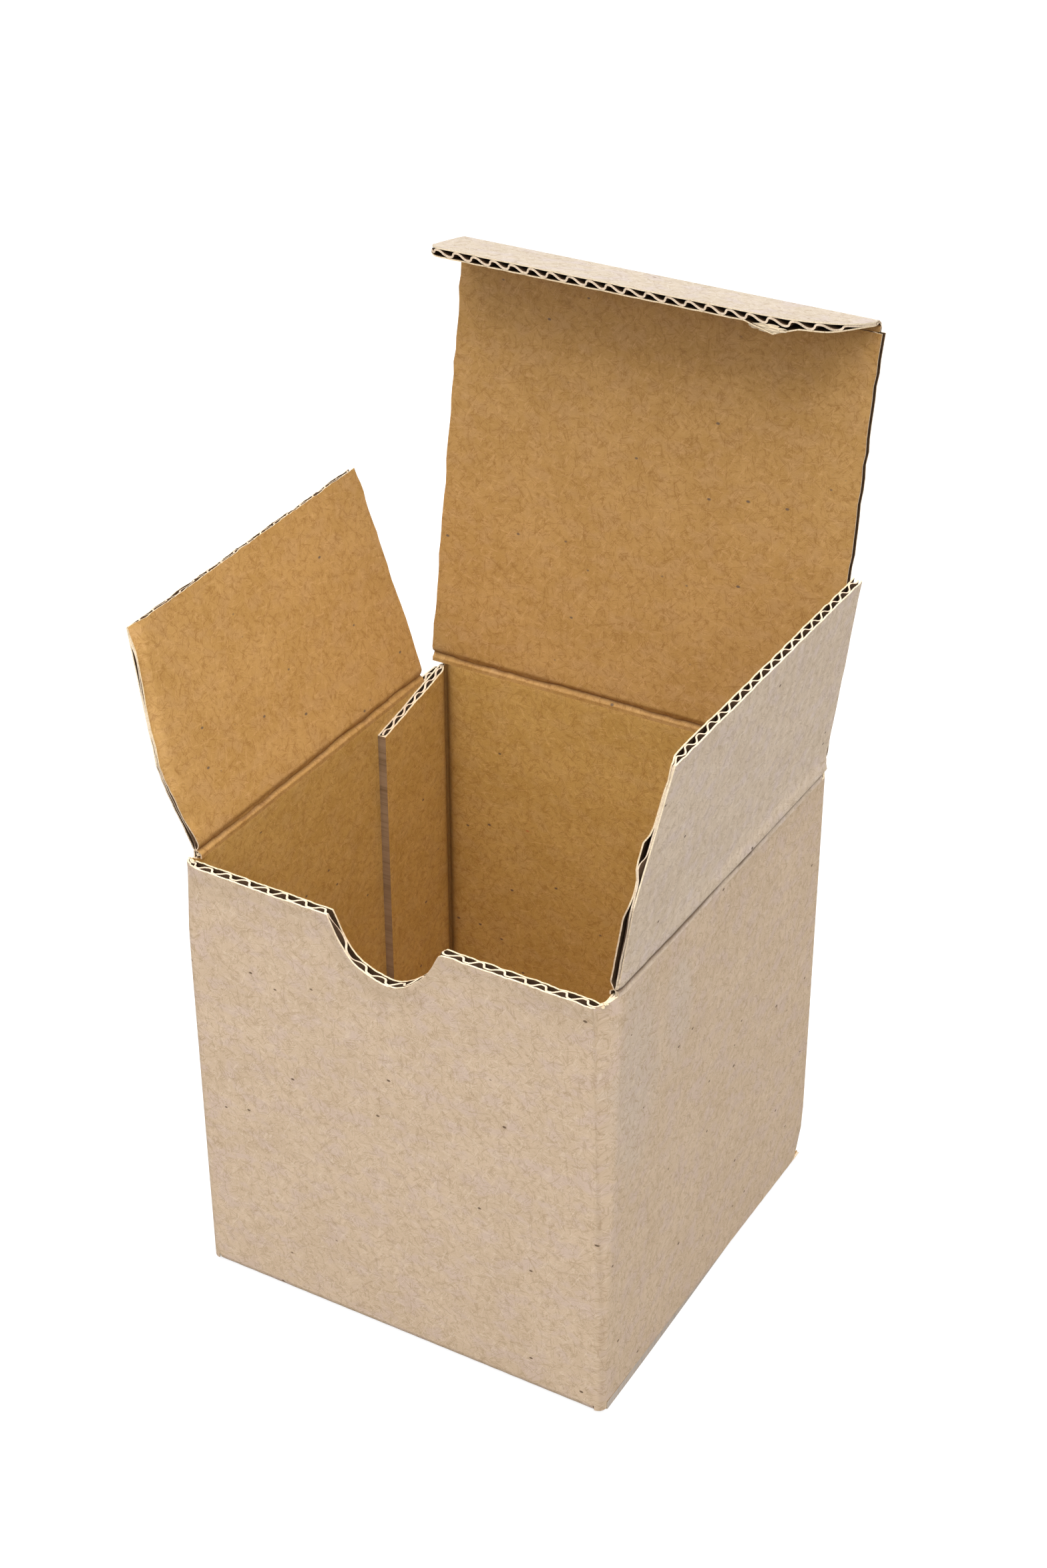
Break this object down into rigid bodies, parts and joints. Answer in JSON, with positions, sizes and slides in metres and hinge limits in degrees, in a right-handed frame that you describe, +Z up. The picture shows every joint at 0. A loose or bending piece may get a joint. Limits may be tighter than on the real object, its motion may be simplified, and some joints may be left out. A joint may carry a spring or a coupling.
{
  "type": "tuck-top carton",
  "caption": "Small nearly cubic carton of fine-flute corrugated board with a thumb notch, dust flaps and a hinged lid that tucks in.",
  "frame": {"origin": "centre of the carton's underside, on the surface it rests on", "axes": "+Z up through the open top, -Y toward the front panel with the thumb notch, +X to the right"},
  "size_m": [0.0951, 0.0883, 0.1564],
  "materials": {
    "kraft_board": "matte",
    "kraft_inside": "matte"
  },
  "bodies": {
    "carton": {"carton_body": "kraft_board"},
    "lid": {"lid": "kraft_inside"},
    "tuck": {"tuck_flap": "kraft_board"},
    "left_flap": {"left_dust_flap": "kraft_inside"},
    "right_flap": {"right_dust_flap": "kraft_board"}
  },
  "joints": [
    {"name": "lid_crease", "type": "hinge", "parent": "carton", "child": "lid", "pos_m": [0, 0.0372, 0.0829], "axis": [1, 0, 0], "range_deg": [-80, 100]},
    {"name": "tuck_crease", "type": "hinge", "parent": "lid", "child": "tuck", "pos_m": [0, 0.04963, 0.15341], "axis": [1, 0, 0], "range_deg": [-90, 0]},
    {"name": "left_flap_crease", "type": "hinge", "parent": "carton", "child": "left_flap", "pos_m": [-0.0372, 0, 0.081], "axis": [0, 1, 0], "range_deg": [-66, 114]},
    {"name": "right_flap_crease", "type": "hinge", "parent": "carton", "child": "right_flap", "pos_m": [0.0372, 0, 0.081], "axis": [0, 1, 0], "range_deg": [-97.2, 82.8]}
  ]
}
